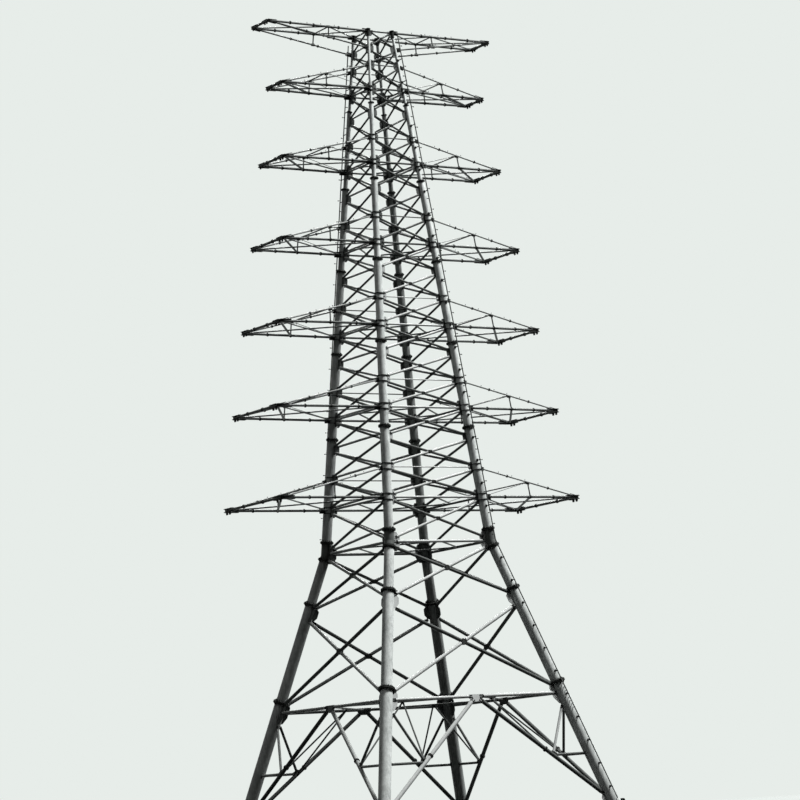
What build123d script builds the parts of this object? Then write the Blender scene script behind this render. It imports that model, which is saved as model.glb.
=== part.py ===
from build123d import *
from math import pi, tan
import os

os.makedirs("parts", exist_ok=True)

# Lattice transmission tower of steel tube, as a 1:2 scale model, in millimetres.
# X runs along the crossarms, Y along the power line, Z up from the foot plates.

# Driving dimensions of the body
base_half = 5020          # half width between leg axes at the ground
belt_height = 4440        # first ring of horizontals, over the open foot bay
mid_height = 7990         # crossing level between belt and waist
waist_height = 10200      # level where the legs bend
waist_half = 2210         # half width between leg axes at the waist
first_arm_height = 11840  # bottom of the lowest crossarm
lower_bay = 3370          # lowest crossarm to the second
middle_bay = 3130         # spacing of the second to the fifth crossarm
upper_bay = 2900          # fifth crossarm to the sixth
panels_per_bay = 3        # cross-braced panels in one crossarm bay
crown_panels = [945, 660, 770]  # three panels over the sixth crossarm
crown_half = 525          # half width between leg axes at the very top
fit_gap = 0.3             # clearance of pieces that seat on a round tube

# Leg tubes, from the ground up: outside diameters between bolted flanges
lower_tubes = [450, 410, 370]
upper_tubes = [345, 320, 290, 240, 170, 110]
tube_sides = 8
flange_offset = 390       # flange above the node level that it belongs to
waist_flange_below = 210  # flange between lower and upper leg, under the waist
waist_flange_above = 440
flange_lip = 0.18         # how far a flange stands out, as a share of its tube's diameter
flange_depth = 0.21       # two bolted flange rings together, as a share of the same
plate_side = 980          # square foot plate
plate_thickness = 60
anchor_spacing = 760      # square pattern of the anchor bolts in a foot plate
anchor_hole = 28          # hole radius

# Bars of the bracing: width across the bar
foot_brace = 150
foot_strut = 100
belt_bar = 120
lower_brace = 135
waist_brace = 120
waist_bar = 110
upper_brace_low = 100
upper_brace_high = 64
ring_bar_low = 90
ring_bar_high = 64
plan_bar = 60
top_ring_drop = 90        # topmost horizontals, under the leg ends
foot_brace_start = 420    # height where the foot braces leave the legs
foot_node = 0.44          # place of the tie bars, as a share of the foot brace's length
lower_setback = 130       # braces meet the leg this far from the node level
upper_setback = 64

# Crossarms, lowest first: reach from the tower's axis and half width at the end
arm_reach = [6490, 6170, 5710, 5220, 4820, 4490]
arm_end_half = [2040, 1590, 1370, 1160, 895, 565]
top_arm_reach = 4940
top_arm_end_half = 575
chord_bottom = 92
chord_top = 60
top_arm_chord = 84        # upper chords of the top crossarm
arm_end_bar = 100
arm_spreader = 86         # from the middle of the back bottom chord to the front tip
arm_diagonal = 55
arm_lacing = 50           # posts of the top crossarm
top_arm_node = 0.4        # place of the top crossarm's posts, as a share of its length
side_clear = 0.6          # room beside a horizontal, as a share of its width

# Climbing rails beside two legs
rail_offset = 345         # from the leg's axis, out along the power line
rail_bar = 44
rail_bracket = 36
rail_brackets = 5         # on each straight run
rail_start = 500
rail_below_top = 300

# Levels of the body, from the ground up
arm_levels = [first_arm_height]
for bay in [lower_bay, middle_bay, middle_bay, middle_bay, upper_bay]:
    arm_levels.append(arm_levels[-1] + bay)
levels = [waist_height]
for start, end in zip(arm_levels[:-1], arm_levels[1:]):
    levels += [start + (end - start) * i / panels_per_bay for i in range(panels_per_bay)]
levels.append(arm_levels[-1])
for rise in crown_panels:
    levels.append(levels[-1] + rise)
top_height = levels[-1]
first_arm_index = levels.index(arm_levels[0])
lower_slope = (base_half - waist_half) / waist_height
upper_slope = (waist_half - crown_half) / (top_height - waist_height)

# Each leg and each side is modelled once, at the front left, and turned about Z into its places
near = (-1, -1)
right = (1, -1)
back = (-1, 1)
leg_turns = {"front_left": 0, "front_right": 90, "back_right": 180, "back_left": 270}
side_turns = {"front": 0, "right": 90, "back": 180, "left": 270}


def half_width(height):
    if height <= waist_height:
        return base_half - lower_slope * height
    return waist_half - upper_slope * (height - waist_height)


def leg_point(corner, height):
    half = half_width(height)
    return Vector(corner[0] * half, corner[1] * half, height)


def leg_side(corner):
    # Level direction square to the leg, so that the tubes show flats to both of its sides
    return Vector(corner[0], -corner[1], 0)


def between(start, end, share):
    return start + (end - start) * share


def bar(start, end, width, facing, sides=4):
    # One straight member with flat sides, one of them square to the given direction
    run = end - start
    section = Plane(origin=start, x_dir=facing, z_dir=run)
    with BuildSketch(section, mode=Mode.PRIVATE) as outline:
        if sides == 4:
            Rectangle(width, width)
        else:
            RegularPolygon(radius=width / 2, side_count=sides, rotation=180 / sides)
    return extrude(outline.sketch, amount=run.length, mode=Mode.PRIVATE)


def tube(corner, low, high, diameter, grow):
    # A length of leg tube between two heights, on the leg's axis
    start = leg_point(corner, low)
    end = leg_point(corner, high)
    return bar(start, end, diameter + 2 * grow, leg_side(corner), tube_sides)


def flange(corner, height, diameter, grow):
    # Bolted pair of rings, square to the leg's axis
    axis = (leg_point(corner, height + 1) - leg_point(corner, height - 1)).normalized()
    centre = leg_point(corner, height)
    half = axis * (diameter * flange_depth / 2 + grow)
    across = diameter * (1 + 2 * flange_lip) + 2 * grow
    return bar(centre - half, centre + half, across, leg_side(corner), tube_sides)


# Heights of the flanges: over each lower node, and over every third node of the body
lower_joint = waist_height - waist_flange_below
joined_levels = levels[first_arm_index + 2:len(levels) - len(crown_panels):panels_per_bay]
lower_cuts = [0, belt_height + flange_offset, mid_height + flange_offset, lower_joint]
upper_cuts = [waist_height + waist_flange_above] + [h + flange_offset for h in joined_levels] + [top_height]
bend_tube = lower_tubes[-1]


def leg_axis(corner, height):
    # Direction of the leg just below the given height
    return (leg_point(corner, height) - leg_point(corner, height - 1)).normalized()


def lower_leg_solids(corner, grow=0):
    solids = []
    for low, high, diameter in zip(lower_cuts[:-1], lower_cuts[1:], lower_tubes):
        solids.append(tube(corner, low, high, diameter, grow))
    for height, diameter in zip(lower_cuts[1:-1], lower_tubes):
        solids.append(flange(corner, height, diameter, grow))
    joint = leg_point(corner, lower_joint)
    ring = bend_tube * (1 + 2 * flange_lip) + 2 * grow
    ring_start = joint - leg_axis(corner, lower_joint) * (bend_tube * flange_depth / 2 + grow)
    solids.append(bar(ring_start, joint, ring, leg_side(corner), tube_sides))
    return solids


def upper_leg_solids(corner, grow=0):
    joint = leg_point(corner, lower_joint)
    knee = leg_point(corner, waist_height)
    below = leg_axis(corner, waist_height)
    above = leg_axis(corner, top_height)
    ring = bend_tube * (1 + 2 * flange_lip) + 2 * grow
    mitre = (bend_tube / 2 + grow) * tan(below.get_angle(above) * pi / 360)
    start = joint + below * (0 if grow else fit_gap)
    solids = [
        bar(start, joint + below * (bend_tube * flange_depth / 2 + grow), ring, leg_side(corner), tube_sides),
        bar(start, knee + below * mitre, bend_tube + 2 * grow, leg_side(corner), tube_sides),
        bar(knee - above * mitre, leg_point(corner, upper_cuts[0]), bend_tube + 2 * grow, leg_side(corner), tube_sides),
    ]
    for low, high, diameter in zip(upper_cuts[:-1], upper_cuts[1:], upper_tubes):
        solids.append(tube(corner, low, high, diameter, grow))
    for height, diameter in zip(upper_cuts[:-1], [bend_tube] + upper_tubes):
        solids.append(flange(corner, height, diameter, grow))
    return solids


def finish(piece, name):
    piece.part.label = name
    export_step(piece.part, f"parts/{name}.step")


def place_turned(model, name, turns):
    # Write one copy of a modelled piece for each of its places round the tower
    for place, turn in turns.items():
        with BuildPart() as copy:
            add(model.part, rotation=(0, 0, turn))
        finish(copy, f"{name}_{place}")


# Legs
foot = leg_point(near, 0)
with BuildPart() as lower_leg:
    add(lower_leg_solids(near))
    split(bisect_by=Plane.XY, keep=Keep.TOP)
    with Locations((foot.X, foot.Y, 0)):
        Box(plate_side, plate_side, plate_thickness, align=(Align.CENTER, Align.CENTER, Align.MIN))
        with GridLocations(anchor_spacing, anchor_spacing, 2, 2):
            Cylinder(anchor_hole, plate_thickness, align=(Align.CENTER, Align.CENTER, Align.MIN),
                     mode=Mode.SUBTRACT)
place_turned(lower_leg, "lower_leg", leg_turns)

with BuildPart() as upper_leg:
    add(upper_leg_solids(near))
place_turned(upper_leg, "upper_leg", leg_turns)


def clear_of_legs(low, high, *leg_corners):
    # Cope the ends of the bars round the leg tubes between two heights
    for corner in leg_corners:
        for solid in lower_leg_solids(corner, fit_gap) + upper_leg_solids(corner, fit_gap):
            box = solid.bounding_box()
            if box.min.Z < high and box.max.Z > low:
                add(solid, mode=Mode.SUBTRACT)


def face_normal(low, high):
    across = leg_point(right, low) - leg_point(near, low)
    up = leg_point(near, high) - leg_point(near, low)
    return across.cross(up).normalized()


lower_facing = face_normal(0, waist_height)
upper_facing = face_normal(waist_height, top_height)


def level_bar(height, width, facing, grow=0):
    # Horizontal between two legs of the front side
    return bar(leg_point(near, height), leg_point(right, height), width + 2 * grow, facing)


def cross_brace(low, high, width, setback, facing):
    low += setback
    high -= setback
    return [
        bar(leg_point(near, low), leg_point(right, high), width, facing),
        bar(leg_point(right, low), leg_point(near, high), width, facing),
    ]


# Open foot bay: an inverted V on each side, tied back to the legs
def foot_braces(grow=0):
    belt_middle = between(leg_point(near, belt_height), leg_point(right, belt_height), 0.5)
    width = foot_brace + 2 * grow
    return [bar(leg_point(corner, foot_brace_start), belt_middle, width, lower_facing) for corner in (near, right)]


with BuildPart() as foot_bay:
    members = [level_bar(belt_height, belt_bar, lower_facing)] + foot_braces()
    belt_middle = between(leg_point(near, belt_height), leg_point(right, belt_height), 0.5)
    for corner in (near, right):
        node = between(leg_point(corner, foot_brace_start), belt_middle, foot_node)
        members.append(bar(leg_point(corner, belt_height - lower_setback), node, foot_strut, lower_facing))
        members.append(bar(leg_point(corner, node.Z), node, foot_strut, lower_facing))
    add(members)
    clear_of_legs(0, belt_height + belt_bar, near, right)
place_turned(foot_bay, "foot_bay", side_turns)

# Waist bay: two crossed panels on each side, between belt and waist
with BuildPart() as waist_bay:
    members = cross_brace(belt_height, mid_height, lower_brace, lower_setback, lower_facing)
    members += cross_brace(mid_height, waist_height, waist_brace, lower_setback, lower_facing)
    members.append(level_bar(waist_height, waist_bar, lower_facing))
    add(members)
    clear_of_legs(belt_height, waist_height + waist_bar, near, right)
place_turned(waist_bay, "waist_bay", side_turns)


def lighter_upward(height, low_value, high_value):
    # Members of the body get lighter towards the top
    share = (height - waist_height) / (top_height - waist_height)
    return low_value + (high_value - low_value) * share


def ring_width(height):
    if height == belt_height:
        return belt_bar
    if height == waist_height:
        return waist_bar
    return lighter_upward(height, ring_bar_low, ring_bar_high)


# Cross-braced sides of the upper body, in a lower and an upper section, with horizontals at the
# bottom of each crossarm and at the very top
top_ring = top_height - top_ring_drop
sections = {"lower": (waist_height, arm_levels[3]), "upper": (arm_levels[3], top_height)}
for section, (start, end) in sections.items():
    panels = [(low, high) for low, high in zip(levels[:-1], levels[1:]) if start <= low < end]
    with BuildPart() as body_side:
        members = []
        for low, high in panels:
            width = lighter_upward(low, upper_brace_low, upper_brace_high)
            members += cross_brace(low, high, width, upper_setback, upper_facing)
        for height in arm_levels + [top_ring]:
            if start <= height < end:
                members.append(level_bar(height, ring_width(height), upper_facing))
        add(members)
        clear_of_legs(start, end, near, right)
    place_turned(body_side, f"body_{section}", side_turns)

# Level frames: a diamond between the middles of the four horizontals
frame_levels = {"belt": belt_height, "waist": waist_height}
frame_levels.update({f"arm_{i + 1}": level for i, level in enumerate(arm_levels)})
for name, height in frame_levels.items():
    half = half_width(height)
    facing = lower_facing if height <= waist_height else upper_facing
    cutters = [level_bar(height, ring_width(height), facing, fit_gap)]
    if height == belt_height:
        cutters += foot_braces(fit_gap)
    middles = [Vector(half, 0, height), Vector(0, half, height), Vector(-half, 0, height), Vector(0, -half, height)]
    with BuildPart() as level_frame:
        add([bar(a, b, plan_bar, Vector(0, 0, 1)) for a, b in zip(middles, middles[1:] + middles[:1])])
        with Locations((0, 0, height)):
            Box(2 * half, 2 * half, 2 * plan_bar, mode=Mode.INTERSECT)
        for turn in side_turns.values():
            add(cutters, rotation=(0, 0, turn), mode=Mode.SUBTRACT)
    finish(level_frame, f"level_frame_{name}")


def arm_members(bottom, top, reach, end_half):
    # Box-shaped bracket: two bottom chords and two top chords that meet at the end beam, with a
    # spreader and one long diagonal in the bottom
    up = Vector(0, 0, 1)
    roots = [leg_point(corner, bottom) for corner in (near, back)]
    heads = [leg_point(corner, top) for corner in (near, back)]
    tips = [Vector(-reach, hand * end_half, bottom) for hand in (-1, 1)]
    members = [
        bar(tips[0], tips[1], arm_end_bar, up),
        bar(between(roots[1], tips[1], 0.5), tips[0], arm_spreader, up),
        bar(roots[1], tips[0], arm_diagonal, up),
    ]
    for side in (0, 1):
        members.append(bar(roots[side], tips[side], chord_bottom, up))
        members.append(bar(heads[side], tips[side], chord_top, up))
    return members


def top_arm_members(low, high):
    # At the very top the upper chords are level and the lower ones rise to the end
    up = Vector(0, 0, 1)
    aside = Vector(0, 1, 0)
    tips = [Vector(-top_arm_reach, hand * top_arm_end_half, high) for hand in (-1, 1)]
    lows = [leg_point(corner, low) for corner in (near, back)]
    highs = [leg_point(corner, high) for corner in (near, back)]
    low_mid = [between(root, tip, top_arm_node) for root, tip in zip(lows, tips)]
    high_mid = [between(root, tip, top_arm_node) for root, tip in zip(highs, tips)]
    members = [bar(tips[0], tips[1], arm_end_bar, up), bar(high_mid[0], high_mid[1], arm_lacing, up)]
    for side in (0, 1):
        members += [
            bar(lows[side], tips[side], chord_top, up),
            bar(highs[side], tips[side], top_arm_chord, up),
            bar(low_mid[side], high_mid[side], arm_lacing, aside),
        ]
    return members


def clear_of_side(*heights):
    # Keep the bars off the body's members beside them
    for height in heights:
        wide = 2 * (side_clear * ring_bar_low + fit_gap)
        with Locations((-half_width(height), 0, height)):
            Box(wide, 3 * half_width(height), wide, mode=Mode.SUBTRACT)


# Crossarms, the right ones turned half round from the left ones
arm_turns = {"left": 0, "right": 180}
for i, level in enumerate(arm_levels):
    top = levels[levels.index(level) + 1]
    with BuildPart() as crossarm:
        add(arm_members(level, top, arm_reach[i], arm_end_half[i]))
        clear_of_side(level, top)
        clear_of_legs(level - chord_bottom, top + chord_top, near, back)
    place_turned(crossarm, f"crossarm_{i + 1}", arm_turns)
with BuildPart() as top_crossarm:
    add(top_arm_members(levels[-2], top_height - top_arm_chord))
    clear_of_side(levels[-2], top_height - top_arm_chord)
    clear_of_legs(levels[-2] - top_arm_chord, top_height, near, back)
place_turned(top_crossarm, "crossarm_top", arm_turns)

# Climbing rails beside the front right and back left legs, held off by brackets
outward = Vector(0, -rail_offset, 0)
with BuildPart() as climbing_rail:
    members = []
    rail_end = top_height - rail_below_top
    for low, high in ((rail_start, waist_height), (waist_height, rail_end)):
        members.append(bar(leg_point(right, low) + outward, leg_point(right, high) + outward, rail_bar,
                           Vector(1, 0, 0)))
        for i in range(rail_brackets):
            height = low + (high - low) * (i + 0.5) / rail_brackets
            foothold = leg_point(right, height)
            members.append(bar(foothold, foothold + outward, rail_bracket, Vector(1, 0, 0)))
    add(members)
    clear_of_legs(rail_start, rail_end, right)
place_turned(climbing_rail, "climbing_rail", {"front_right": 0, "back_left": 180})
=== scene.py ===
import bpy
import bmesh
import math
from mathutils import Matrix, Vector


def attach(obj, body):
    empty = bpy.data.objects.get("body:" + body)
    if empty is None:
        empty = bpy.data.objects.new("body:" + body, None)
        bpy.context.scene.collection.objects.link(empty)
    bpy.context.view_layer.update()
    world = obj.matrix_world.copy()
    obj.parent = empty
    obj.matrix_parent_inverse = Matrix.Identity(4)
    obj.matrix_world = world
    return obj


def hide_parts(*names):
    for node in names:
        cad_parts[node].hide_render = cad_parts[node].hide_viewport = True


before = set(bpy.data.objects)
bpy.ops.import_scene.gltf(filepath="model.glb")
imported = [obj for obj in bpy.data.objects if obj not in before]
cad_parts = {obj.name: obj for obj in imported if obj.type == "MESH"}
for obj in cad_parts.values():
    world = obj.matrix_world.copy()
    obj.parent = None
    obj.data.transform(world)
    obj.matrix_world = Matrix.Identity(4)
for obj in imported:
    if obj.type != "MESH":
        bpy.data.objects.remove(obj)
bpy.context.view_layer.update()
print("frame loaded:", len(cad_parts), "nodes")

# The tower's own levels and widths in metres, from the ground up
tower = dict(
    baseHalf=5.02, beltHeight=4.44, midHeight=7.99, waistHeight=10.2,
    waistHalf=2.21, firstArmHeight=11.84, armBays=[3.37, 3.13, 3.13, 3.13, 2.9],
    panelsPerBay=3, crownPanels=[0.945, 0.66, 0.77], crownHalf=0.525,
    topRingDrop=0.09,
)
belt, middle, waist = (tower[key] for key in ("beltHeight", "midHeight", "waistHeight"))

armLevels = [tower["firstArmHeight"]]
for bay in tower["armBays"]:
    armLevels.append(armLevels[-1] + bay)
levels = [waist]
for start, end in zip(armLevels[:-1], armLevels[1:]):
    levels += [start + (end - start) * i / tower["panelsPerBay"] for i in range(tower["panelsPerBay"])]
levels.append(armLevels[-1])
for rise in tower["crownPanels"]:
    levels.append(levels[-1] + rise)
topHeight = levels[-1]
armHeads = [levels[levels.index(level) + 1] for level in armLevels]
topRing = topHeight - tower["topRingDrop"]

# The front left corner, which is modelled, and its neighbours
near, right, back = (-1, -1), (1, -1), (-1, 1)
# A piece's places: its turn, and the finishes of its main tubes, other tubes and level bars. A side's
# main tubes start at its first leg and the others at its second. The far legs, the far sides and the bars
# that turn away from the light take darker copies of the zinc, painted shade; a half-light copy marks
# bars that are partly lit.
paintedShadeSide = ("bracePaintedShade", "bracePaintedShade", "bracePaintedShade")
legPlaces = {"front_left": (0, "legZinc"), "front_right": (90, "legZinc"), "back_right": (180, "legPaintedDeepShade"),
             "back_left": (270, "legPaintedShade")}
sidePlaces = {"front": (0, "braceZinc", "bracePaintedShade", "braceZinc"), "right": (90, *paintedShadeSide), "back": (180, *paintedShadeSide),
              "left": (270, "bracePaintedShade", "bracePaintedHalfLight", "bracePaintedHalfLight")}
armPlaces = {side: (turn, "armZinc", "kneeZinc", "bracePaintedHalfLight") for side, turn in (("left", 0), ("right", 180))}
railPlaces = {"front_right": (0, "railZinc"), "back_left": (180, "railZinc")}
up, alongLine = Vector((0, 0, 1)), Vector((0, 1, 0))


def halfWidth(height):
    if height <= waist:
        lean = (tower["baseHalf"] - tower["waistHalf"]) / waist
        return tower["baseHalf"] - lean * height
    lean = (tower["waistHalf"] - tower["crownHalf"]) / (topHeight - waist)
    return tower["waistHalf"] - lean * (height - waist)


def legPoint(height, corner=near):
    half = halfWidth(height)
    return Vector((corner[0] * half, corner[1] * half, height))


def between(a, b, share):
    return a + (b - a) * share


def heading(a, b):
    return (b - a).normalized()


def legAxis(height, corner=near, step=0.001):
    return heading(legPoint(height - step, corner), legPoint(height + step, corner))


def lighterUpward(height, low, high):
    # Bars, bolts and plates change size from the waist to the top
    share = (height - waist) / (topHeight - waist)
    return low + (high - low) * share


def sideNormal(low, high):
    across = legPoint(low, right) - legPoint(low)
    return across.cross(legPoint(high) - legPoint(low)).normalized()


lowerFacing = sideNormal(0, waist)
upperFacing = sideNormal(waist, topHeight)

# Small parts that every piece is made of. Sizes of flanges, tongues and splice plates are shares of the
# lip, the depth, the radius or the length, but a tab's depths and grip and a rib's sink and depth are
# in metres.

tubeSlot, plateSlot, boltSlot, otherSlot, levelSlot = range(5)
hexagon, threadShare = 6, 0.55
flange = dict(ringPlace=0.28, ringDepth=0.44, boltPlace=0.58, boltGrip=0.72, boltSize=0.2, ribPlace=0.4,
              ribSink=0.01, ribReach=0.85, ribDepth=0.012)
tab = dict(cap=1.1, capDepth=0.012, capSides=12, width=1.9, depth=0.024, firstBolt=0.3, boltRun=0.6,
           boltAcross=0.62, boltGrip=0.026)
splice = dict(reach=1.7, half=0.8, depth=2.3, boltPlace=0.75, boltGrip=1.35, boltSize=0.26)


def aimed(point, direction, hint=None):
    # Matrix at a point with Z along the direction and X near the hint
    zAxis = direction.normalized()
    if hint is None or abs(zAxis.dot(hint.normalized())) > 0.99:
        hint = Vector((0, 1, 0)) if abs(zAxis.y) < 0.9 else Vector((1, 0, 0))
    yAxis = zAxis.cross(hint).normalized()
    xAxis = yAxis.cross(zAxis)
    matrix = Matrix((xAxis, yAxis, zAxis)).transposed().to_4x4()
    matrix.translation = point
    return matrix


def spoke(matrix, step, steps):
    # Direction of one step of a full turn round the matrix's Z
    angle = 2 * math.pi * step / steps
    return matrix.to_3x3() @ Vector((math.cos(angle), math.sin(angle), 0))


def dress(verts, slot, smooth=False):
    for face in {face for vert in verts for face in vert.link_faces}:
        face.material_index = slot
        face.smooth = smooth and len(face.verts) == 4
        if not face.smooth:
            for edge in face.edges:
                edge.smooth = False


def addRod(mesh, start, end, radius, sides=12, slot=tubeSlot):
    run = end - start
    made = bmesh.ops.create_cone(
        mesh, cap_ends=True, segments=sides, radius1=radius, radius2=radius, depth=run.length,
        matrix=aimed(between(start, end, 0.5), run))
    dress(made["verts"], slot, sides > hexagon)


def addPlate(mesh, centre, along, normal, length, width, depth):
    matrix = aimed(centre, normal, along) @ Matrix.Diagonal((length, width, depth, 1))
    made = bmesh.ops.create_cube(mesh, size=1, matrix=matrix)
    dress(made["verts"], plateSlot)


def addOutline(mesh, corners, depth, slot=plateSlot):
    # Flat plate of any outline, given by its corners in order
    verts = [mesh.verts.new(corner) for corner in corners]
    face = mesh.faces.new(verts)
    face.normal_update()
    normal = face.normal.copy()
    made = bmesh.ops.extrude_face_region(mesh, geom=[face])
    moved = [item for item in made["geom"] if isinstance(item, bmesh.types.BMVert)]
    bmesh.ops.translate(mesh, vec=normal * depth, verts=moved)
    bmesh.ops.translate(mesh, vec=normal * (-depth / 2), verts=verts + moved)
    dress(verts + moved, slot)


def addBolt(mesh, point, axis, grip, radius):
    # Head and nut of a bolt through a plate, with the thread standing out of the nut
    axis = axis.normalized()
    addRod(mesh, point - axis * grip, point + axis * grip, radius, hexagon, boltSlot)
    addRod(mesh, point + axis * grip, point + axis * (grip + radius), radius * threadShare, hexagon, boltSlot)


def addRing(mesh, centre, axis, radius, depth, sides=24):
    half = axis.normalized() * (depth / 2)
    addRod(mesh, centre - half, centre + half, radius, sides, plateSlot)


def addFlange(mesh, centre, axis, radius, lip, depth, bolts, ribs=0, ribHeight=0.0):
    # Two bolted rings, with triangular ribs between the bolts where asked for
    axis = axis.normalized()
    for way in (-1, 1):
        addRing(mesh, centre + axis * (way * depth * flange["ringPlace"]), axis, radius + lip,
                depth * flange["ringDepth"])
    matrix = aimed(centre, axis)
    for i in range(bolts):
        point = centre + spoke(matrix, i, bolts) * (radius + lip * flange["boltPlace"])
        addBolt(mesh, point, axis, depth * flange["boltGrip"], lip * flange["boltSize"])
    for i in range(ribs):
        outward = spoke(matrix, i + 0.5, ribs)
        for way in (-1, 1):
            root = centre + axis * (way * depth * flange["ribPlace"])
            root += outward * (radius - flange["ribSink"])
            reach = outward * (lip * flange["ribReach"])
            addOutline(mesh, [root, root + reach, root + axis * (way * ribHeight)], flange["ribDepth"])


def addTongue(mesh, tip, way, facing, radius, length, bolts, bolt):
    # Flat end of a tubular bar: a cap, and a tongue plate that is bolted to the gusset
    addRing(mesh, tip, way, radius * tab["cap"], tab["capDepth"], tab["capSides"])
    addPlate(mesh, tip + way * (length / 2), way, facing, length, radius * tab["width"], tab["depth"])
    across = way.cross(facing).normalized()
    for i in range(bolts):
        share = tab["firstBolt"] + tab["boltRun"] * i / max(1, bolts - 1)
        for hand in (-1, 1):
            point = tip + way * (length * share) + across * (hand * radius * tab["boltAcross"])
            addBolt(mesh, point, facing, tab["boltGrip"], bolt)


def addBar(mesh, start, end, radius, facing, insets, tongues, bolts, bolt, slot=tubeSlot, sides=14):
    # Tubular bar between two nodes, each end stopped short and fixed by its own tongue
    way = heading(start, end)
    first, last = start + way * insets[0], end - way * insets[1]
    addRod(mesh, first, last, radius, sides, slot)
    addTongue(mesh, first, -way, facing, radius, tongues[0], bolts, bolt)
    addTongue(mesh, last, way, facing, radius, tongues[1], bolts, bolt)


def addLightBar(mesh, start, end, radius, insets, tongue, slot=tubeSlot, bolt=0.01, sides=10):
    # Light bar with a level tongue and one row of bolts at each end
    addBar(mesh, start, end, radius, up, insets, (tongue, tongue), 1, bolt, slot, sides)


def addCrossing(mesh, centre, ways, facing, radius):
    # Splice plate where two braces cross, bolted along both of them
    reach = radius * splice["reach"]
    corners = []
    for way in (ways[0], ways[1], -ways[0], -ways[1]):
        across = way.cross(facing).normalized() * (radius * splice["half"])
        corners += [centre + way * reach + across * hand for hand in (-1, 1)]
    flat = aimed(sum(corners, Vector()) / len(corners), facing).inverted()
    corners.sort(key=lambda corner: math.atan2((flat @ corner).y, (flat @ corner).x))
    addOutline(mesh, corners, radius * splice["depth"])
    for way in ways:
        for hand in (-1, 1):
            addBolt(mesh, centre + way * (reach * hand * splice["boltPlace"]), facing,
                    radius * splice["boltGrip"], radius * splice["boltSize"])


# Materials. A noise is given by its scale, detail, roughness and stretch, and a mask by its noise and
# the limits between which the noise counts.
patina = dict(
    layers=[dict(mask=((1.3, 5.0), (0.34, 0.68)), share=0.45),
            dict(mask=((7.0, 4.0, 0.6), (0.3, 0.72)), share=0.3),
            dict(mask=((1.0, 3.0, 0.5, (16, 16, 1.1)), (0.36, 0.7)), share=0.35)],
    crystals=34, crystalTone=(-0.1, 0.1), roughness=(0.34, 0.68),
    grain=(60.0, 3.0), grainShare=0.02, dents=(5.0, 1.0), relief=0.18,
)
grime = dict(
    facingUp=(0.1, 0.9), drift=((3.0, 4.0), (0.35, 0.65)), specks=((19.0, 6.0, 0.7), (0.62, 0.72)),
    patches=((0.9, 2.0), (0.5, 0.66)), dustTone=(0.42, 0.42, 0.38, 1),
    rustTone=(0.13, 0.075, 0.045, 1),
)


def newGroup(name, inputs, outputs):
    group = bpy.data.node_groups.new(name, "ShaderNodeTree")
    for way, sockets in (("INPUT", inputs), ("OUTPUT", outputs)):
        for socketName, kind in sockets.items():
            group.interface.new_socket(socketName, in_out=way, socket_type="NodeSocket" + kind)
    return group, group.nodes.new("NodeGroupInput"), group.nodes.new("NodeGroupOutput")


def wire(tree, source, target):
    tree.links.new(source, target)


def newNode(tree, kind, **values):
    node = tree.nodes.new("ShaderNode" + kind)
    for socketName, value in values.items():
        node.inputs[socketName].default_value = value
    return node


def noiseNode(tree, vector, scale, detail, roughness=0.55, stretch=None):
    if stretch is not None:
        mapping = newNode(tree, "Mapping", Scale=stretch)
        wire(tree, vector, mapping.inputs["Vector"])
        vector = mapping.outputs["Vector"]
    noise = newNode(tree, "TexNoise", Scale=scale, Detail=detail, Roughness=roughness)
    wire(tree, vector, noise.inputs["Vector"])
    return noise.outputs["Fac"]


def rangeNode(tree, value, low, high, newLow=0.0, newHigh=1.0):
    limits = {"From Min": low, "From Max": high, "To Min": newLow, "To Max": newHigh}
    node = newNode(tree, "MapRange", **limits)
    wire(tree, value, node.inputs["Value"])
    return node.outputs["Result"]


def noiseMask(tree, vector, noise, limits):
    return rangeNode(tree, noiseNode(tree, vector, *noise), *limits)


def mathNode(tree, operation, first, second):
    node = newNode(tree, "Math")
    node.operation = operation
    for socket, value in zip(node.inputs, (first, second)):
        if isinstance(value, (int, float)):
            socket.default_value = value
        else:
            wire(tree, value, socket)
    return node.outputs["Value"]


def mixColour(tree, factor, first, second):
    node = newNode(tree, "Mix")
    node.data_type = "RGBA"
    wire(tree, factor, node.inputs["Factor"])
    for socketName, value in (("A", first), ("B", second)):
        socket = next(s for s in node.inputs if s.name == socketName and s.type == "RGBA")
        if isinstance(value, tuple):
            socket.default_value = value
        else:
            wire(tree, value, socket)
    return next(s for s in node.outputs if s.type == "RGBA")


def buildZincGroup():
    # Hot-dip zinc: crystal spangle, cloudy patches and runs of dull patina down the metal
    group, inside, outside = newGroup("zincPatina", dict(Fresh="Color", Dull="Color", Patches="Float"),
                                      dict(Color="Color", Roughness="Float", Height="Float"))
    place = newNode(group, "TexCoord").outputs["Object"]
    tone = 0
    for layer in patina["layers"]:
        mask = noiseMask(group, place, *layer["mask"])
        tone = mathNode(group, "ADD", tone, mathNode(group, "MULTIPLY", mask, layer["share"]))
    crystals = newNode(group, "TexVoronoi", Scale=patina["crystals"])
    wire(group, place, crystals.inputs["Vector"])
    crystalTone = rangeNode(group, crystals.outputs["Color"], 0, 1, *patina["crystalTone"])
    tone = mathNode(group, "MULTIPLY", tone, inside.outputs["Patches"])
    tone = mathNode(group, "ADD", tone, crystalTone)
    tone = rangeNode(group, tone, 0, 1)
    colour = mixColour(group, tone, inside.outputs["Fresh"], inside.outputs["Dull"])
    wire(group, colour, outside.inputs["Color"])
    wire(group, rangeNode(group, tone, 0, 1, *patina["roughness"]), outside.inputs["Roughness"])
    grain = noiseNode(group, place, *patina["grain"])
    dents = noiseNode(group, place, *patina["dents"])
    height = mathNode(group, "ADD", mathNode(group, "MULTIPLY", grain, patina["grainShare"]), dents)
    wire(group, height, outside.inputs["Height"])
    return group


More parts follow.
